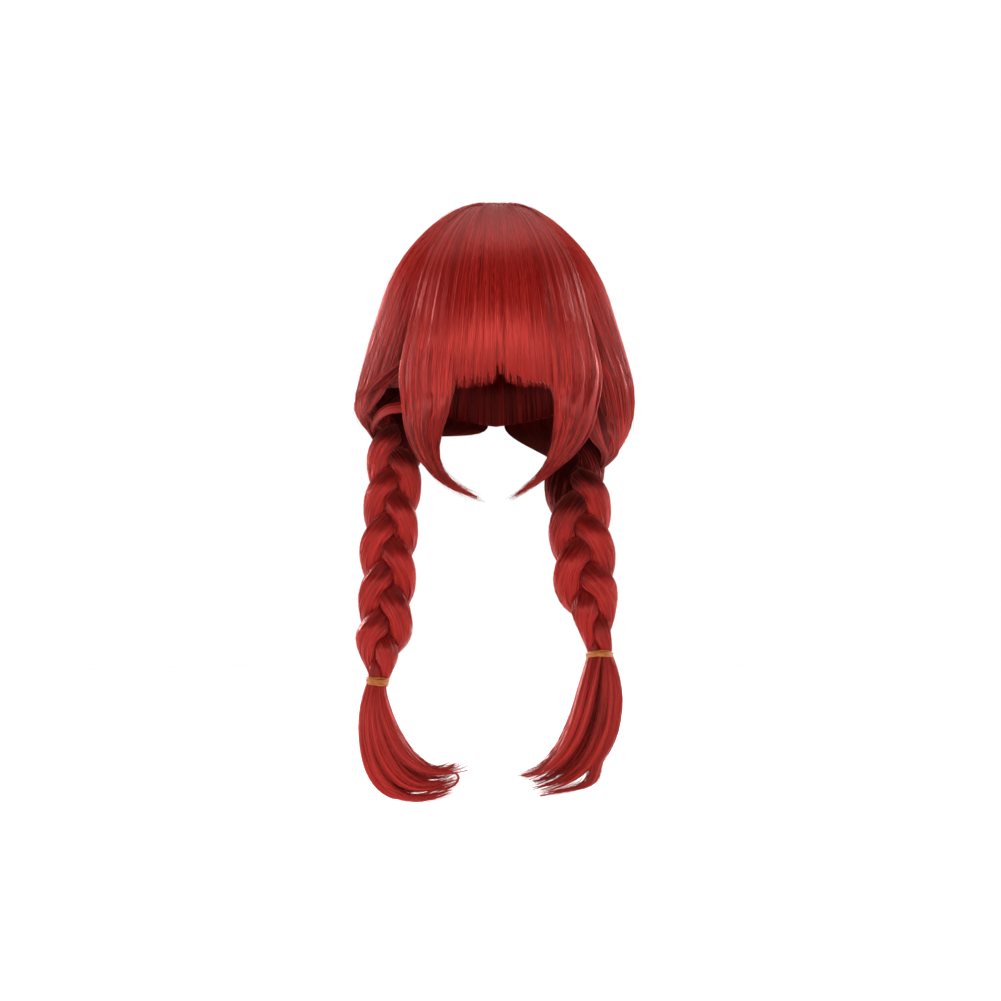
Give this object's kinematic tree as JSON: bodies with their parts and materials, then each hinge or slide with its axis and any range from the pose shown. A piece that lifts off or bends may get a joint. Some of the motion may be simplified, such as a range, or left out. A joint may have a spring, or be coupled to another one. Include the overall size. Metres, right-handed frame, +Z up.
{
  "type": "braided wig",
  "caption": "Long red wig with a full fringe, side locks that frame the face, and a braid hanging in front of each shoulder, tied with an elastic band above a loose tuft.",
  "frame": {"origin": "the point inside the top of the crown that sits on the wearer's head", "axes": "+Z up, the face opening looks along -Y, +X is to the right seen from the front"},
  "size_m": [0.2211, 0.22, 0.4688],
  "materials": {
    "hair": "glossy red synthetic fibre",
    "elastic": "translucent amber elastic"
  },
  "bodies": {
    "root": {"crown": "hair", "fringe": "hair", "side_lock_left": "hair", "side_lock_right": "hair", "bunch_left": "hair", "bunch_right": "hair", "braid_left_strand_1": "hair", "braid_left_strand_2": "hair", "braid_left_strand_3": "hair", "braid_right_strand_1": "hair", "braid_right_strand_2": "hair", "braid_right_strand_3": "hair", "tuft_left": "hair", "tuft_right": "hair", "band_left": "elastic", "band_right": "elastic"}
  },
  "joints": []
}
